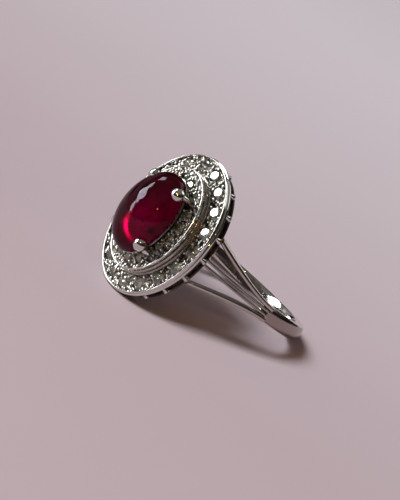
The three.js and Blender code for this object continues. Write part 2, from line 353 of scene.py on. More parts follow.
class Track:
    """Places at equal steps along an oval."""

    STEPS = 2880

    def __init__(self, oval):
        self.oval = oval
        self.angles = np.linspace(0, 2 * math.pi, self.STEPS + 1)
        xy = np.stack([oval[0] * np.cos(self.angles), oval[1] * np.sin(self.angles)], 1)
        stretches = np.linalg.norm(np.diff(xy, axis=0), axis=1)
        self.run = np.concatenate([[0], np.cumsum(stretches)])
        self.length = self.run[-1]

    def place(self, distance):
        """(x, y, outward heading in radians) at a distance along the oval from +X."""
        angle = np.interp(distance % self.length, self.run, self.angles)
        x, y = self.oval[0] * math.cos(angle), self.oval[1] * math.sin(angle)
        heading = math.atan2(self.oval[0] * math.sin(angle), self.oval[1] * math.cos(angle))
        return x, y, heading

    def distance_to(self, angle):
        return float(np.interp(angle, self.angles, self.run))


def inside(oval, by):
    return oval[0] - by, oval[1] - by


OUTER_TRACK = Track(inside(RIM, OUTER_INSET))
INNER_TRACK = Track(inside(TIER_EDGE, INNER_INSET))


def seat_frame(track, run, z, lean):
    """Axes of a seat: X outward and tipped down by lean, Y along the row, Z out of the stone."""
    x, y, heading = track.place(run)
    turn = Matrix.Rotation(heading, 4, "Z") @ Matrix.Rotation(math.radians(lean), 4, "Y")
    return Matrix.Translation((x, y, z)) @ turn


def outer_seats():
    pitch = OUTER_TRACK.length / OUTER_COUNT
    runs = [i * pitch for i in range(OUTER_COUNT)]
    return [seat_frame(OUTER_TRACK, run, OUTER_GIRDLE, OUTER_LEAN) for run in runs]


def inner_seats():
    """The inner seats, in the four stretches between the claws."""
    angles = (CLAW_ANGLE, 180 - CLAW_ANGLE, 180 + CLAW_ANGLE, 360 - CLAW_ANGLE)
    claws = [INNER_TRACK.distance_to(math.radians(a)) for a in angles]
    runs = []
    for i, claw_run in enumerate(claws):
        start = claw_run + CLAW_ROOM
        lap = INNER_TRACK.length if i == len(claws) - 1 else 0
        end = claws[(i + 1) % len(claws)] + lap - CLAW_ROOM
        for k in range(INNER_PER_STRETCH):
            runs.append(start + k / (INNER_PER_STRETCH - 1) * (end - start))
    return [seat_frame(INNER_TRACK, run, TIER_RISE, INNER_LEAN) for run in runs]


# ---- Nodes --------------------------------------------------------------------------------------


def nodes_of(name):
    material = bpy.data.materials.new(name)
    material.use_nodes = True
    tree = material.node_tree
    shader = tree.nodes["Principled BSDF"]
    return material, tree, shader


def add_node(tree, kind, **values):
    """A node with its inputs set, or linked where the value is a socket, and its options set."""
    node = tree.nodes.new(kind)
    for key, value in values.items():
        if isinstance(value, bpy.types.NodeSocket):
            tree.links.new(value, node.inputs[key])
        elif key in node.inputs:
            node.inputs[key].default_value = value
        else:
            setattr(node, key, value)
    return node


def own_coordinates(tree):
    return add_node(tree, "ShaderNodeTexCoord").outputs["Object"]


def ring_coordinates(tree, centre=(0.0, 0.0, 0.0)):
    """The surface's place on the ring's own axes, in mm, from centre (given the same way)."""
    turn = add_node(
        tree,
        "ShaderNodeMapping",
        vector_type="TEXTURE",
        Vector=own_coordinates(tree),
        Location=to_scene([centre])[0],
        Rotation=AXES.to_euler(),
        Scale=(MM, MM, MM),
    )
    return turn.outputs["Vector"]


def noise(tree, place, **values):
    return add_node(tree, "ShaderNodeTexNoise", Vector=place, **values).outputs["Fac"]


def distance_from(tree, centre):
    """(place, distance) of the surface from a centre on the ring's own axes, in mm."""
    place = ring_coordinates(tree, centre)
    length = add_node(tree, "ShaderNodeVectorMath", operation="LENGTH")
    tree.links.new(place, length.inputs[0])
    return place, length.outputs["Value"]


def maths(tree, operation, a, b=0):
    node = add_node(tree, "ShaderNodeMath", operation=operation)
    for socket, value in zip(node.inputs, (a, b)):
        if isinstance(value, (int, float)):
            socket.default_value = value
        else:
            tree.links.new(value, socket)
    return node.outputs[0]


def grey(level):
    return (level, level, level)


def ramp(tree, value, *stops):
    """A colour ramp. Each stop is (position, colour)."""
    node = add_node(tree, "ShaderNodeValToRGB", Fac=value)
    elements = node.color_ramp.elements
    while len(elements) < len(stops):
        elements.new(0.5)
    for element, (position, color) in zip(elements, stops):
        element.position = position
        element.color = (*color, 1)
    return node.outputs["Color"]


def bump(tree, height, strength, distance, invert=False):
    """A normal raised by height; distance is in metres."""
    relief = add_node(
        tree, "ShaderNodeBump", Height=height, Strength=strength, Distance=distance, invert=invert
    )
    return relief.outputs["Normal"]


def mixed(tree, share, first, second):
    """Two shaders mixed: the first where share is 0, the second where it is 1."""
    mix = add_node(tree, "ShaderNodeMixShader", Fac=share)
    tree.links.new(first, mix.inputs[1])
    tree.links.new(second, mix.inputs[2])
    return mix.outputs["Shader"]


def show(tree, surface):
    """Makes surface what the material looks like."""
    tree.links.new(surface, tree.nodes["Material Output"].inputs["Surface"])


# ---- Metals -------------------------------------------------------------------------------------


def platinum(name, clean, filmed, tint=(0.72, 0.70, 0.67), marks=0.25):
    """White metal with faint hand-finishing marks and a duller, darker film in places.

    clean and filmed are its roughness without and with the film, marks the depth of the marks.
    """
    film_shade = 0.86
    material, tree, shader = nodes_of(name)
    link = tree.links.new
    place = own_coordinates(tree)
    shader.inputs["Metallic"].default_value = 1.0
    film = noise(tree, place, Scale=900.0, Detail=4.0, Roughness=0.6)
    spread = {"From Min": 0.35, "From Max": 0.65, "To Min": clean, "To Max": filmed}
    rough = add_node(tree, "ShaderNodeMapRange", Value=film, **spread)
    link(rough.outputs["Result"], shader.inputs["Roughness"])
    shade = ramp(tree, film, (0.0, [c * film_shade for c in tint]), (1.0, tint))
    link(shade, shader.inputs["Base Color"])
    scratches = noise(tree, place, Scale=2600.0, Detail=3.0, Roughness=0.55)
    link(bump(tree, scratches, marks, 0.00002), shader.inputs["Normal"])
    return material


def chiselled():
    """Metal between set stones: cut and raised by hand, so it breaks light into small sparks. The
    cuts between its cells are painted near black as shade.
    """
    # bright is the metal itself; dark is painted shade, put in the cuts between the cells
    bright, dark = (0.58, 0.56, 0.52), (0.06, 0.052, 0.038)
    material, tree, shader = nodes_of("platinum_chiselled")
    link = tree.links.new
    shader.inputs["Metallic"].default_value = 1.0
    shader.inputs["Roughness"].default_value = 0.17
    place = own_coordinates(tree)
    cuts = add_node(tree, "ShaderNodeTexVoronoi", Vector=place, Scale=3000.0).outputs["Distance"]
    link(ramp(tree, cuts, (0.0, bright), (0.66, dark)), shader.inputs["Base Color"])
    link(bump(tree, cuts, 1.0, 0.00012, True), shader.inputs["Normal"])
    return material


# ---- Stones' materials --------------------------------------------------------------------------


def ruby_red():
    """The polished dome of the cabochon: deep crimson, a little uneven, with a faint gloss."""
    material, tree, shader = nodes_of("ruby_red")
    tree.nodes.remove(shader)
    cloud = noise(tree, ring_coordinates(tree), Scale=0.55, Detail=3.0, Roughness=0.5)
    tone = ramp(tree, cloud, (0.35, (0.52, 0.008, 0.18)), (0.68, (0.76, 0.015, 0.33)))
    fleck = distance_from(tree, RUBY_FLECK)[1]
    dark = ramp(tree, fleck, (0.1, grey(0.35)), (0.42, grey(1)))
    clear = add_node(tree, "ShaderNodeVectorMath", operation="MULTIPLY")
    tree.links.new(tone, clear.inputs[0])
    tree.links.new(dark, clear.inputs[1])
    body = add_node(
        tree, "ShaderNodeBsdfRefraction", Color=clear.outputs["Vector"], IOR=1.77, Roughness=0.02
    )
    gloss = add_node(tree, "ShaderNodeBsdfGlossy", Color=(0.95, 0.9, 1.0, 1), Roughness=0.03)
    share = add_node(tree, "ShaderNodeFresnel", IOR=1.24)
    show(tree, mixed(tree, share.outputs["Fac"], body.outputs["BSDF"], gloss.outputs["BSDF"]))
    return material


def painted_glow_masks(tree):
    """(crescent, streaks) of painted glow low in the ruby, standing for light gathered there, each
    from 0 to 1.
    """
    place, away = distance_from(tree, CENTRE_OF_PAINTED_GLOW)
    off = maths(tree, "ABSOLUTE", maths(tree, "SUBTRACT", away, RADIUS_OF_PAINTED_GLOW))
    arc = ramp(
        tree, off, (0.0, grey(1)), (0.09, grey(0.75)), (0.2, grey(0.06)), (0.5, grey(0))
    )
    turn = add_node(tree, "ShaderNodeTexGradient", gradient_type="RADIAL", Vector=place)
    ends = ramp(
        tree,
        turn.outputs["Fac"],
        (0.0, grey(0.2)),
        (0.09, grey(1)),
        (0.16, grey(0.55)),
        (0.26, grey(0)),
        (0.94, grey(0)),
        (1.0, grey(0.2)),
    )
    crescent = maths(tree, "MULTIPLY", arc, ends)
    inward = maths(tree, "SUBTRACT", RADIUS_OF_PAINTED_GLOW + 0.05, away)
    near = ramp(
        tree, inward, (0.0, grey(0)), (0.06, grey(1)), (0.4, grey(0.4)), (0.8, grey(0))
    )
    swirl = noise(tree, place, Scale=3.2, Detail=3.0, Roughness=0.7, Distortion=1.2)
    flow = ramp(tree, swirl, (0.42, grey(0)), (0.62, grey(1)))
    streaks = maths(tree, "MULTIPLY", maths(tree, "MULTIPLY", near, ends), flow)
    return crescent, streaks


def ruby_depth():
    """What shows through the dome: silky crimson with a faint painted glow all over, brighter and
    pink low down, standing for light gathered in the stone.
    """
    faint, crescent_strength, streak_strength = 0.75, 1.3, 3.2
    material, tree, shader = nodes_of("ruby_depth")
    link = tree.links.new
    shader.inputs["Roughness"].default_value = 0.5
    cloud = noise(tree, ring_coordinates(tree), Scale=0.7, Detail=4.0, Roughness=0.55)
    silk = ramp(
        tree,
        cloud,
        (0.36, (0.015, 0.0, 0.002)),
        (0.5, (0.045, 0.001, 0.010)),
        (0.66, (0.075, 0.001, 0.026)),
    )
    link(silk, shader.inputs["Base Color"])
    crescent, streaks = painted_glow_masks(tree)
    painted_glow_colour = ramp(
        tree,
        crescent,
        (0.0, (0.028, 0.0, 0.006)),
        (0.3, (0.5, 0.0, 0.07)),
        (1.0, (1.0, 0.0, 0.3)),
    )
    # Painted glow: the emission below is faint all over and brighter in the crescent and the streaks
    link(painted_glow_colour, shader.inputs["Emission Color"])
    strength = maths(
        tree,
        "ADD",
        maths(tree, "MULTIPLY", crescent, crescent_strength),
        maths(tree, "MULTIPLY", streaks, streak_strength),
    )
    link(maths(tree, "ADD", strength, faint), shader.inputs["Emission Strength"])
    return material


def diamond_white():
    """Clear stone: bright flashes off its facets over a dark, warm inside."""
    index, surface_index = 2.42, 2.3
    material, tree, shader = nodes_of("diamond_white")
    tree.nodes.remove(shader)
    cloud = noise(tree, own_coordinates(tree), Scale=420.0, Detail=2.0)
    tone = ramp(tree, cloud, (0.3, (0.78, 0.76, 0.66)), (0.7, (1.0, 1.0, 0.97)))
    inner = add_node(tree, "ShaderNodeBsdfGlass", Color=tone, IOR=index, Roughness=0.0)
    entry = add_node(tree, "ShaderNodeBsdfRefraction", Color=tone, IOR=index, Roughness=0.0)
    gloss = add_node(tree, "ShaderNodeBsdfGlossy", Color=(0.96, 1.0, 0.98, 1), Roughness=0.02)
    share = add_node(tree, "ShaderNodeFresnel", IOR=surface_index)
    outer = mixed(tree, share.outputs["Fac"], entry.outputs["BSDF"], gloss.outputs["BSDF"])
    side = add_node(tree, "ShaderNodeNewGeometry")
    show(tree, mixed(tree, side.outputs["Backfacing"], outer, inner.outputs["BSDF"]))
    return material


POLISHED = platinum("platinum_polished", 0.05, 0.14, marks=0.15)
CAST = platinum("platinum_cast", 0.12, 0.3, marks=0.5)
# Painted shade: a darker copy of the metal for undersides and for the insides of the collet and the
# gallery
SHADOWED = platinum("platinum_painted_shade", 0.22, 0.45, (0.3, 0.27, 0.24), 0.5)
# Painted highlight: a paler copy of the metal, so the beads glint brighter
BEADS_PAINTED_BRIGHT = platinum("platinum_beads_painted_bright", 0.15, 0.22, (0.86, 0.87, 0.82), 0.2)
# Painted shade: a darker copy of the metal for the outside of the band
PAINTED_REFLECTED_SHADE = platinum("platinum_painted_reflected_shade", 0.1, 0.26, (0.38, 0.32, 0.29), 0.3)
# Painted shade: a near-black copy of the metal for the blind arches and the outside of the gallery
# rail
PAINTED_RECESS_SHADE = platinum("platinum_painted_recess_shade", 0.25, 0.5, (0.075, 0.062, 0.052), 0.5)
# Painted shade: a dimmer copy of the metal for the shoulder wires and the threads round the tier
# wall
PAINTED_DIM_METAL = platinum("platinum_painted_dim", 0.08, 0.2, (0.56, 0.52, 0.47), 0.2)
CHISELLED = chiselled()
RUBY_RED = ruby_red()
RUBY_DEPTH = ruby_depth()
DIAMOND = diamond_white()


# ---- Shank and shoulders ------------------------------------------------------------------------


def band_section(width, depth, corner=0.16, crown=0.3):
    """Flat sides, an eased inner face and a crowned outer one. Points are (out, sideways)."""
    crown_steps = 8
    half = width / 2
    ease = min(corner, half * 0.5)
    bevel = ease * 0.3
    points = [(0.0, -half + ease), (0.0, half - ease), (bevel, half - bevel), (ease, half)]
    rise = depth * crown
    points.append((depth - rise, half))
    for k in range(1, crown_steps):
        a = math.pi * k / crown_steps
        points.append((depth - rise + rise * math.sin(a), half * math.cos(a)))
    points += [(depth - rise, -half), (ease, -half), (bevel, -half + bevel)]
    return points


def sweep(path, section_at):
    """A closed bar along path, whose places are (point, outward, sideways).

    section_at(t) is its outline, t running from 0 to 1 along it.
    """
    outlines = []
    for i, (at, outward, sideways) in enumerate(path):
        section = section_at(i / (len(path) - 1))
        outlines.append([at + outward * out + sideways * side for out, side in section])
    return skin(outlines)


def finger_path(point_at, steps):
    """Places along a curve round the finger, each with its own outward and sideways directions."""
    nudge = 0.002
    places = []
    for i in range(steps + 1):
        t = i / steps
        here = point_at(t)
        ahead = (point_at(min(1, t + nudge)) - point_at(max(0, t - nudge))).normalized()
        outward = Vector((here.x, 0, here.z))
        outward = (outward - ahead * outward.dot(ahead)).normalized()
        places.append((here, outward, ahead.cross(outward)))
    return places


def on_finger(angle, radius, y):
    """A place at an angle, in radians, round the finger from the middle of the head."""
    return Vector((radius * math.sin(angle), y, radius * math.cos(angle)))


def shank():
    """The band, bright inside the finger hole and darkened outside it by painted shade, standing for
    the shadowed floor it reflects.
    """
    into_wires = 0.012  # radians
    outer_share = 0.6
    start = math.radians(SHOULDER_ANGLE) - into_wires
    turn = 2 * (math.pi - start)
    path = finger_path(lambda t: on_finger(start + t * turn, HOLE_RADIUS, 0), 120)
    section = band_section(SHANK_WIDTH, SHANK_THICK)
    band = piece("band", sweep(path, lambda t: section), POLISHED, ["shank"])

    def outside(at, facing):
        return at.x * facing.x + at.z * facing.z > outer_share * math.hypot(at.x, at.z)

    # Painted shade on the band's outer faces
    refinish(band, PAINTED_REFLECTED_SHADE, outside)


def shoulder_wire(name, wire, side, lie, node):
    """A wire from the shank up to the gallery's base rail, where it is cut off level."""
    into_shank = 1.2
    trim_radius, trim_height = 30, 10
    bottom = math.radians(SHOULDER_ANGLE + into_shank)
    top = math.radians(SHOULDER_TOP_ANGLE)
    spread_out = wire["at_head"] - wire["at_shank"]

    def point_at(t):
        to_head = 1 - t
        spread = wire["at_shank"] + spread_out * to_head ** wire["straightness"]
        radius = HOLE_RADIUS + OVERLAP + SHOULDER_LIFT * to_head**2
        return on_finger(side * (top + t * (bottom - top)), radius, lie * spread)

    def section_at(t):
        depth = WIRE_DEPTH + (SHANK_THICK - WIRE_DEPTH) * t**3
        return band_section(wire["width"], depth, corner=0.1, crown=0.2)

    lid = HEAD_HEIGHT - GALLERY_DEPTH + OVERLAP
    tall = lid + trim_height
    box = lathe([(0, lid), (trim_radius, lid), (trim_radius, tall), (0, tall)], 4)
    shape = cut(sweep(finger_path(point_at, 48), section_at), [box])
    # The wire takes the dimmer copy of the metal: painted shade
    piece(name, shape, PAINTED_DIM_METAL, [node])


def shoulders():
    for side_name, side in (("left", -1), ("right", 1)):
        for end_name, lie in (("front", 1), ("rear", -1)):
            for kind, wire in (("outer", OUTER_WIRE), ("centre", CENTRE_WIRE)):
                tail = f"{kind}_{side_name}_{end_name}"
                shoulder_wire(f"wire_{tail}", wire, side, lie, f"shoulder_{tail}")


# ---- Tiers --------------------------------------------------------------------------------------


def seat_cutters(seats, diameter):
    """Tapered holes for the stones, opening in a bright bevel at the top."""
    bottom, top = -0.75, 0.4
    r = diameter / 2
    profile = [
        (0, bottom),
        (r * 0.4, bottom),
        (r * 0.5, -0.4),
        (r - 0.05, -0.04),
        (r + 0.02, 0.02),
        (r + 0.09, 0.14),
        (r + 0.14, top),
        (0, top),
    ]
    return [moved(lathe(profile, 28), seat) for seat in seats]


def outer_tier():
    """The plate of the outer tier: side wall, a groove under the rim, and a top that slopes out."""
    inner = OUTER_OPENING - RIM[0]
    corners = [
        (0.0, -RIM_DEPTH),
        (0.0, -0.38),
        (-0.14, -0.35),
        (-0.14, -0.22),
        (-0.28, -0.21),
        (-1.2, -0.10),
        (-2.0, OUTER_TOP),
        (inner, OUTER_TOP),
        (inner, -RIM_DEPTH),
    ]
    blank = hoop(RIM, smooth_profile(corners, 0.05), 180)
    shape = cut(blank, seat_cutters(outer_seats(), OUTER_STONE))
    plate = head_metal("pave_plate_outer", shape, CHISELLED, "outer_plate", sharp=35)
    field = inside(RIM, RIM_POLISHED)
    refinish(plate, POLISHED, lambda at, facing: not within(field, at))
    # Painted shade on the plate's underside, within the polished edge
    refinish(plate, SHADOWED, lambda at, facing: faces_down(facing) and within(field, at))
    rail = smooth_profile([(-0.08, -0.24), (-0.1, 0.03), (-0.2, 0.04), (-0.26, -0.24)], 0.05)
    head_metal("rim_bright_line", hoop(RIM, rail, 200), POLISHED, "rim_wire", sharp=50)


def twin_thread(out, z, size):
    """Outline of two fine round wires lying together, one over the other."""
    width, steps = 0.34, 7
    points = [(out - width, z - 2 * size)]
    for middle in (z - size, z + size):
        for k in range(steps):
            a = -math.pi / 2 + math.pi * (k + 0.5) / steps
            points.append((out - size + size * math.cos(a), middle + size * math.sin(a)))
    points.append((out - width, z + 2 * size))
    return points


def milgrain(oval, out, z):
    """A row of tiny beads round an oval."""
    track = Track((oval[0] + out, oval[1] + out))
    count = round(track.length / MILGRAIN_PITCH)
    places = [track.place(i * track.length / count) for i in range(count)]
    return joined([ball((x, y, z), MILGRAIN, detail=1) for x, y, _ in places])


def inner_tier():
    """The raised plate, the stepped wall that carries it, and the threads round that wall."""
    inner = INNER_OPENING - TIER_EDGE[0]
    top, foot = TIER_RISE + 0.1, TIER_RISE - 0.42
    corners = [
        (0.0, TIER_RISE - 0.34),
        (0.0, TIER_RISE - 0.08),
        (-0.1, TIER_RISE),
        (-0.2, TIER_RISE - 0.04),
        (inner, top),
        (inner, foot),
        (-0.36, foot),
    ]
    blank = hoop(TIER_EDGE, smooth_profile(corners, 0.04), 160)
    shape = cut(blank, seat_cutters(inner_seats(), INNER_STONE))
    plate = head_metal("pave_plate_inner", shape, CHISELLED, "inner_plate", sharp=35)
    field = inside(TIER_EDGE, TIER_POLISHED)
    refinish(plate, POLISHED, lambda at, facing: not within(field, at))
    wall = smooth_profile([(-0.3, -0.2), (-0.3, 0.85), (-0.7, 0.85), (-0.7, -0.2)], 0.04)
    head_metal("tier_wall_drum", hoop(TIER_EDGE, wall, 160), CHISELLED, "tier_wall")
    beads = milgrain(TIER_EDGE, out=-0.1, z=0.33)
    lower = joined([hoop(TIER_EDGE, twin_thread(0.0, 0.06, 0.07), 160), beads])
    # The lower threads and beads take the dimmer copy of the metal: painted shade
    head_metal("tier_rail_lower", lower, PAINTED_DIM_METAL, "tier_wire_lower", sharp=50)
    upper = hoop(TIER_EDGE, twin_thread(0.0, 0.6, 0.075), 160)
    # The upper threads take the dimmer copy of the metal: painted shade
    head_metal("tier_rail_upper", upper, PAINTED_DIM_METAL, "tier_wire_upper", sharp=50)


def grains(seats, diameter, size, luck):
    """Beads raised from the metal round each stone, to hold its girdle, and on the webs between."""
    flatness = 0.9
    made = []
    reach = diameter / 2 + 0.04
    for i, seat in enumerate(seats):
        for along in (-1, 1):
            for out in (-1, 1):
                angle = math.radians(GRAIN_ANGLE + luck.uniform(-GRAIN_WANDER, GRAIN_WANDER))
                sideways, lengthways = reach * math.sin(angle), reach * math.cos(angle)
                spot = Vector((out * sideways, along * lengthways, GRAIN_HEIGHT))
                made.append(ball(seat @ spot, size * luck.uniform(0.85, 1.15), flatness))
        gap = (seats[(i + 1) % len(seats)].translation - seat.translation).length
        if gap < diameter + WIDEST_WEB:
            for out in (0.0, luck.choice((-0.5, 0.5)) * reach):
                spot = Vector((out + luck.uniform(-0.1, 0.1), gap / 2, WEB_GRAIN_HEIGHT))
                made.append(ball(seat @ spot, size * luck.uniform(0.7, 0.95), flatness))
    return joined(made)


def grain_settings():
    luck = random.Random(11)
    outer = grains(outer_seats(), OUTER_STONE, OUTER_GRAIN, luck)
    # The beads take the paler copy of the metal: painted highlight
    head_metal("grains_outer", outer, BEADS_PAINTED_BRIGHT, "outer_plate", sharp=180)
    inner = grains(inner_seats(), INNER_STONE, INNER_GRAIN, luck)
    head_metal("grains_inner", inner, BEADS_PAINTED_BRIGHT, "inner_plate", sharp=180)


# ---- Ruby and its setting -----------------------------------------------------------------------


def collet():
    """The collar under the ruby: a polished lip just showing round the girdle, darkened within and
    below by painted shade.
    """
    top = RUBY_GIRDLE - RUBY_BEVEL - COLLET_GAP
    foot = COLLET_FOOT
    outline = [
        (0.84, foot),
        (1.08, foot),
        (1.08, foot + 0.3),
        (0.84, foot + 0.6),
        (0.84, TIER_RISE + 0.1),
        (0.95, top - 0.3),
        (0.995, top - 0.16),
        (1.0, top),
        (0.9, top),
        (0.72, top - 0.3),
        (0.72, foot + 0.3),
    ]
    profile = smooth_profile([((share - 1) * RUBY[0], z) for share, z in outline], 0.05)
    collar = head_metal("collet", hoop(RUBY, profile, 140), POLISHED, "ruby_collet")

    def hidden(at, facing):
        return faces_in(at, facing) or at.z < HEAD_HEIGHT

    # Painted shade on the collar's inner faces and on all of it below the rim plane
    refinish(collar, SHADOWED, hidden)


def claw(index, button):
    """A slim stem that rises beside the ruby and leans over it to a round button."""
    ring = 20
    tip, radius = Vector(button[:3]), button[3]
    outward = Vector((tip.x / RUBY[0] ** 2, tip.y / RUBY[1] ** 2, 0)).normalized()
    across = Vector((-outward.y, outward.x, 0))
    rise = tip.z - TIER_RISE
    line = [
        tip + outward * out + Vector((0, 0, rise * (share - 1))) for out, share, _ in CLAW_STEM
    ]
    turns = [2 * math.pi * k / ring for k in range(ring)]
    outlines = []
    for i, at in enumerate(line):
        size = CLAW_STEM[i][2]
        ahead = (line[min(i + 1, len(line) - 1)] - line[max(i - 1, 0)]).normalized()
        up = ahead.cross(across).normalized()
        outlines.append(
            [at + across * (size * math.cos(a)) + up * (size * math.sin(a)) for a in turns]
        )
    facing = (outward + Vector((0, 0, 1))).normalized()
    button_ball = ball(tip, radius, squash=0.86, up=facing, detail=4)
    shape = joined([skin(outlines), button_ball])
    head_metal(f"claw_button_{index}", shape, POLISHED, f"claw_{index}", sharp=60)


def ruby():
    """A high oval dome over a short bevel and a shallow bellied back inside the collet."""
    back_steps, back_share = 14, 0.8
    dome_steps = 28
    base = RUBY_GIRDLE - RUBY_BEVEL
    profile = []
    for i in range(back_steps):
        a = i / back_steps * math.pi / 2
        profile.append((back_share * math.sin(a), base - RUBY_BACK * math.cos(a)))
    profile += [
        (back_share, base),
        (0.88, RUBY_GIRDLE - 0.21),
        (0.94, RUBY_GIRDLE - 0.17),
        (0.985, RUBY_GIRDLE - 0.07),
        (1, RUBY_GIRDLE),
    ]
    for i in range(1, dome_steps):
        a = i / dome_steps * math.pi / 2
        profile.append((math.cos(a) ** RUBY_DOME_FULLNESS, RUBY_GIRDLE + RUBY_DOME * math.sin(a)))
    profile.append((0, RUBY_GIRDLE + RUBY_DOME))
    shape = lathe(profile, 96, RUBY)
    stone = piece("cabochon", shape, RUBY_RED, ["ruby"], sharp=60, lift=HEAD_HEIGHT)
    dome_foot = HEAD_HEIGHT + RUBY_GIRDLE - 0.2
    refinish(stone, RUBY_DEPTH, lambda at, facing: at.z < dome_foot)


# ---- Diamonds -----------------------------------------------------------------------------------

# A round brilliant's rings of corners, as (how many, turned by, radius, height). Sizes are shares
# of its diameter
CORNERS = {
    "table": (8, 0.0, 0.285, 0.155),
    "star": (8, 22.5, 0.395, 0.092),
    "girdle": (16, 0.0, 0.5, 0.018),
    "lower": (16, 0.0, 0.5, -0.012),
    "deep": (8, 22.5, 0.16, -0.315),
}
CULET = -0.43


def brilliant(d):
    """A round brilliant, its girdle at z = 0: table, stars, kites, halves, girdle and pavilion."""
    points, first = [], {}
    for ring, (count, turned, r, z) in CORNERS.items():
        first[ring] = len(points)
        for k in range(count):
            a = math.radians(360 / count * k + turned)
            points.append((d * r * math.cos(a), d * r * math.sin(a), d * z))
    culet = len(points)
    points.append((0, 0, CULET * d))

    table, star, girdle, lower, deep = first.values()
    faces = [tuple(range(8))]
    for k in range(8):
        n = (k + 1) % 8
        g0, g1, g2 = 2 * k, (2 * k + 1) % 16, (2 * k + 2) % 16
        faces.append((table + k, star + k, table + n))
        faces.append((table + n, star + k, girdle + g2, star + n))
        faces.append((star + k, girdle + g0, girdle + g1))
        faces.append((star + k, girdle + g1, girdle + g2))
        faces.append((deep + k, lower + g1, lower + g0))
        faces.append((deep + k, lower + g2, lower + g1))
        faces.append((deep + k, culet, deep + n, lower + g2))
    for k in range(16):
        n = (k + 1) % 16
        faces.append((girdle + k, lower + k, lower + n, girdle + n))
    return points, faces


def set_stone(name, diameter, seat, luck, slip=0.0):
    """One stone in its seat, turned by chance and a little out of true; slip leans it sideways."""
    lean = math.radians(luck.uniform(-LOOSENESS, LOOSENESS))
    roll = math.radians(luck.uniform(-LOOSENESS, LOOSENESS) - slip)
    spin = luck.uniform(0, math.pi / 4)
    turn = (
        seat
        @ Matrix.Rotation(lean, 4, "Y")
        @ Matrix.Rotation(roll, 4, "X")
        @ Matrix.Rotation(spin, 4, "Z")
    )
    shape = moved(brilliant(diameter), turn)
    node = f"diamond_{name}"
    piece(f"stone_{name}", shape, DIAMOND, [node], sharp=0, lift=HEAD_HEIGHT)


def diamonds():
    luck = random.Random(7)
    for number, seat in enumerate(outer_seats(), 1):
        set_stone(f"outer_{number:02d}", OUTER_STONE, seat, luck)
    for number, seat in enumerate(inner_seats(), 1):
        set_stone(f"inner_{number:02d}", INNER_STONE, seat, luck, INNER_SLIPS.get(number, 0.0))


# ---- Gallery ------------------------------------------------------------------------------------


def arch_cutter(x, y, heading, foot):
    """What is cut out of the gallery's wall for one blind arch: half of an upright oval drum."""
    reach = 0.6  # how far the drum stands out of the wall
    drum = lathe([(0, -ARCH_DEPTH), (1, -ARCH_DEPTH), (1, reach), (0, reach)], 32)
    turn = (
        Matrix.Translation((x, y, foot))
        @ Matrix.Rotation(heading, 4, "Z")
        @ Matrix.Rotation(math.pi / 2, 4, "Y")
        @ Matrix.Diagonal((ARCH_HEIGHT, ARCH_WIDTH / 2, 1, 1))
    )
    return moved(drum, turn)


def gallery_post(x, y, heading, foot, top):
    """A small turned post, a little proud of the wall."""
    proud = 0.02
    profile = [
        (0, foot - 0.1),
        (0.26, foot - 0.06),
        (0.34, foot + 0.12),
        (0.26, foot + 0.3),
        (0.2, top - 0.25),
        (0.3, top),
        (0, top),
    ]
    spot = (x + proud * math.cos(heading), y + proud * math.sin(heading), 0)
    return moved(lathe(profile, 16), Matrix.Translation(spot))


def arcade():
    """The wall of blind arches under the outer tier, painted near black as shade, with a bright post
    between each pair.
    """
    oval = inside(RIM, GALLERY_INSET)
    top, foot = -RIM_DEPTH + OVERLAP, -GALLERY_DEPTH + GALLERY_FOOT
    wall = hoop(oval, [(0, foot), (0, top), (-GALLERY_WALL, top), (-GALLERY_WALL, foot)], 180)
    track = Track(oval)
    cutters, posts = [], []
    for i in range(ARCHES):
        cutters.append(arch_cutter(*track.place((i + 0.5) / ARCHES * track.length), foot))
        posts.append(gallery_post(*track.place(i / ARCHES * track.length), foot, top))
    shape = joined([cut(wall, cutters)] + posts)
    made = head_metal("arcade", shape, PAINTED_RECESS_SHADE, "gallery_arcade", sharp=35)
    proud_of_wall, back_of_wall = inside(oval, -OVERLAP), inside(oval, 0.34)
    refinish(made, CAST, lambda at, facing: not within(proud_of_wall, at))
    # Painted shade on the back of the wall, towards the head's axis
    refinish(made, SHADOWED, lambda at, facing: within(back_of_wall, at))


def gallery_base():
    """The rail under the arches: painted near black as shade outside like them, plain metal inside
    and underneath.
    """
    width, height = GALLERY_RAIL
    bottom, top = -GALLERY_DEPTH, -GALLERY_DEPTH + height
    rail = smooth_profile([(0, bottom), (0, top), (-width, top), (-width, bottom)], 0.14, 5)
    shape = hoop(inside(RIM, GALLERY_RAIL_INSET), rail, 200)
    base = head_metal("gallery_base", shape, PAINTED_RECESS_SHADE, "gallery_rail", sharp=60)
    refinish(base, CAST, lambda at, facing: faces_down(facing, 0.4) or faces_in(at, facing))


# ---- Camera -------------------------------------------------------------------------------------

CAMERA_RISE, CAMERA_TURN, CAMERA_ROLL = 42, 4, 48.8
CAMERA_DISTANCE = 300.0
VIEW_HEIGHT = 49.02  # what the frame takes in, at the head
VIEW_RIGHT, VIEW_DOWN = 3.54, 2.65  # where the camera aims, from the middle of the rim plane
SENSOR_HEIGHT = 36.0
NEAREST, FARTHEST = 0.01, 20.0  # what the camera draws, in metres


def camera_axes():
    """(towards the camera, image right, image up) on the ring's own axes."""
    rise, turn, roll = (math.radians(a) for a in (CAMERA_RISE, CAMERA_TURN, CAMERA_ROLL))
    level = math.cos(turn)
    back = Vector((math.cos(rise) * level, math.sin(turn), math.sin(rise) * level))
    long_axis = Vector((0, 1, 0))
    along = (long_axis - back * long_axis.dot(back)).normalized()
    beside = along.cross(back)
    right = along * math.cos(roll) + beside * math.sin(roll)
    up = along * math.sin(roll) - beside * math.cos(roll)
    return back, right, up


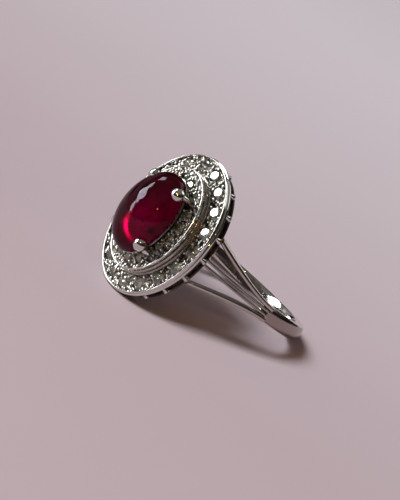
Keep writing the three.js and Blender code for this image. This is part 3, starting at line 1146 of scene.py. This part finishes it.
def set_camera():
    back, right, up = camera_axes()
    aim = Vector((0, 0, HEAD_HEIGHT)) + right * VIEW_RIGHT - up * VIEW_DOWN
    spot = aim + back * CAMERA_DISTANCE
    lens = bpy.data.cameras.new("camera")
    lens.sensor_fit = "VERTICAL"
    lens.sensor_height = SENSOR_HEIGHT
    lens.lens = SENSOR_HEIGHT * CAMERA_DISTANCE / VIEW_HEIGHT
    lens.clip_start, lens.clip_end = NEAREST, FARTHEST
    camera = bpy.data.objects.new("camera", lens)
    bpy.context.scene.collection.objects.link(camera)
    turn = Matrix((AXES @ right, AXES @ up, AXES @ back)).transposed()
    camera.matrix_world = Matrix.Translation(Vector(to_scene([spot])[0])) @ turn.to_4x4()
    bpy.context.scene.camera = camera


# ---- Light --------------------------------------------------------------------------------------

COOL, WARM, SAGE = (0.93, 0.97, 1.0), (1.0, 0.965, 0.945), (0.95, 1.0, 0.93)
ROSE, PEACH, NEUTRAL = (1.0, 0.68, 0.60), (1.0, 0.84, 0.78), (1.0, 0.99, 0.99)
LAMPLIGHT = (1.0, 0.45, 0.08)
WORLD_COLOR, WORLD_STRENGTH = (1.0, 0.76, 0.68, 1), 0.024
RING_MIDDLE = Vector((0, -0.004, 0.01))
NEAR, FAR = 0.45, 1.3  # distance from the ring, in metres

# Lights as (name, azimuth, elevation, width, height, radiance, colour, roll, distance, role). A
# mirrored one is seen only in polished faces and through the stones, and a matt one lights only
# matt faces. Widths and heights are in metres.
LIGHTS = [
    ("window", -42, 22.5, 0.2, 0.13, 21.0, COOL, -14, NEAR, "mirrored"),
    ("window_foot", -34, 6.5, 0.125, 0.05, 18.0, COOL, -36, NEAR, "mirrored"),
    ("window_head", -53, 34.5, 0.09, 0.06, 16.0, COOL, -12, NEAR, "mirrored"),
    ("window_high", -77, 49, 0.11, 0.11, 12.0, COOL, 0, NEAR, "mirrored"),
    ("horizon", -86, 17, 0.3, 0.16, 0.28, WARM, 0, NEAR, "mirrored"),
    ("softbox", -5, 50, 0.56, 0.54, 14.8, NEUTRAL, 0, FAR, "matt"),
    ("overhead", 120, 68, 0.22, 0.22, 0.75, ROSE, 0, NEAR, "matt"),
    ("side", -60, 35, 0.35, 0.25, 0.3, PEACH, 0, NEAR, "matt"),
    ("wall", -48, 8, 0.42, 0.14, 0.36, SAGE, 0, NEAR, "mirrored"),
    ("ceiling", -20, 75, 1.0, 1.0, 0.15, SAGE, 0, NEAR, "mirrored"),
    ("back_sheen", 178, 42, 0.3, 0.2, 1.6, WARM, 0, NEAR, "mirrored"),
    ("lamp_a", 34, 36.4, 0.011, 0.011, 260.0, LAMPLIGHT, 0, NEAR, "both"),
    ("lamp_b", 49, 25.8, 0.011, 0.011, 200.0, LAMPLIGHT, 0, NEAR, "both"),
]


def heading_of(azimuth, elevation):
    """A direction in the scene. Azimuth turns from -Y towards +X."""
    az, el = math.radians(azimuth), math.radians(elevation)
    return Vector((math.sin(az) * math.cos(el), -math.cos(az) * math.cos(el), math.sin(el)))


def area_light(name, azimuth, elevation, width, height, radiance, color, roll, distance, role):
    """A soft rectangular light that faces the ring."""
    data = bpy.data.lights.new(name, "AREA")
    data.shape = "RECTANGLE"
    data.size, data.size_y = width, height
    data.energy = radiance * math.pi * width * height
    data.color = color
    light = bpy.data.objects.new(name, data)
    bpy.context.scene.collection.objects.link(light)
    direction = heading_of(azimuth, elevation)
    light.location = RING_MIDDLE + direction * distance
    facing = direction.to_track_quat("Z", "Y").to_matrix()
    light.rotation_euler = (facing @ Matrix.Rotation(math.radians(roll), 3, "Z")).to_euler()
    light.visible_diffuse = role != "mirrored"
    light.visible_glossy = role != "matt"
    light.visible_transmission = role != "matt"


def set_lights():
    for light in LIGHTS:
        area_light(*light)
    world = bpy.data.worlds.new("world")
    world.use_nodes = True
    sky = world.node_tree.nodes["Background"]
    sky.inputs["Color"].default_value = WORLD_COLOR
    sky.inputs["Strength"].default_value = WORLD_STRENGTH
    bpy.context.scene.world = world
    bpy.context.scene.view_settings.view_transform = "Standard"
    bpy.context.scene.view_settings.look = "None"


# ---- Floor --------------------------------------------------------------------------------------

FLOOR_HALF = 4.0  # metres


def pale_floor():
    """A plain matt sheet, very slightly uneven, with painted light: darker at the front and paler to
    the back.
    """
    near, far = (0.63, 0.54, 0.60), (0.90, 0.86, 0.94)
    slope_share, cloud_share = 0.75, 0.25
    material, tree, shader = nodes_of("pale_floor")
    place = own_coordinates(tree)
    cloud = noise(tree, place, Scale=9.0, Detail=3.0)
    turn = add_node(
        tree,
        "ShaderNodeMapping",
        Vector=place,
        Rotation=(0, 0, math.radians(-96)),
        Scale=(7.0, 7.0, 7.0),
        Location=(0.1, 0, 0),
    )
    # Painted light: this slope darkens the floor at the front and pales it to the back
    slope = add_node(tree, "ShaderNodeTexGradient", Vector=turn.outputs["Vector"])
    blend = maths(
        tree,
        "ADD",
        maths(tree, "MULTIPLY", slope.outputs["Fac"], slope_share),
        maths(tree, "MULTIPLY", cloud, cloud_share),
    )
    tree.links.new(ramp(tree, blend, (0.15, near), (0.75, far)), shader.inputs["Base Color"])
    shader.inputs["Roughness"].default_value = 0.85
    shader.inputs["Specular IOR Level"].default_value = 0.15
    return material


def set_floor():
    low, high = -FLOOR_HALF, FLOOR_HALF
    corners = [(low, low, 0), (high, low, 0), (high, high, 0), (low, high, 0)]
    mesh = bpy.data.meshes.new("floor")
    mesh.from_pydata(corners, [], [(0, 1, 2, 3)])
    mesh.materials.append(pale_floor())
    floor = bpy.data.objects.new("floor", mesh)
    bpy.context.scene.collection.objects.link(floor)


# ---- Assembly -----------------------------------------------------------------------------------

set_camera()
set_lights()
set_floor()
shank()
shoulders()
outer_tier()
inner_tier()
grain_settings()
collet()
for number, button in enumerate(CLAW_BUTTONS, 1):
    claw(number, button)
arcade()
gallery_base()
ruby()
diamonds()
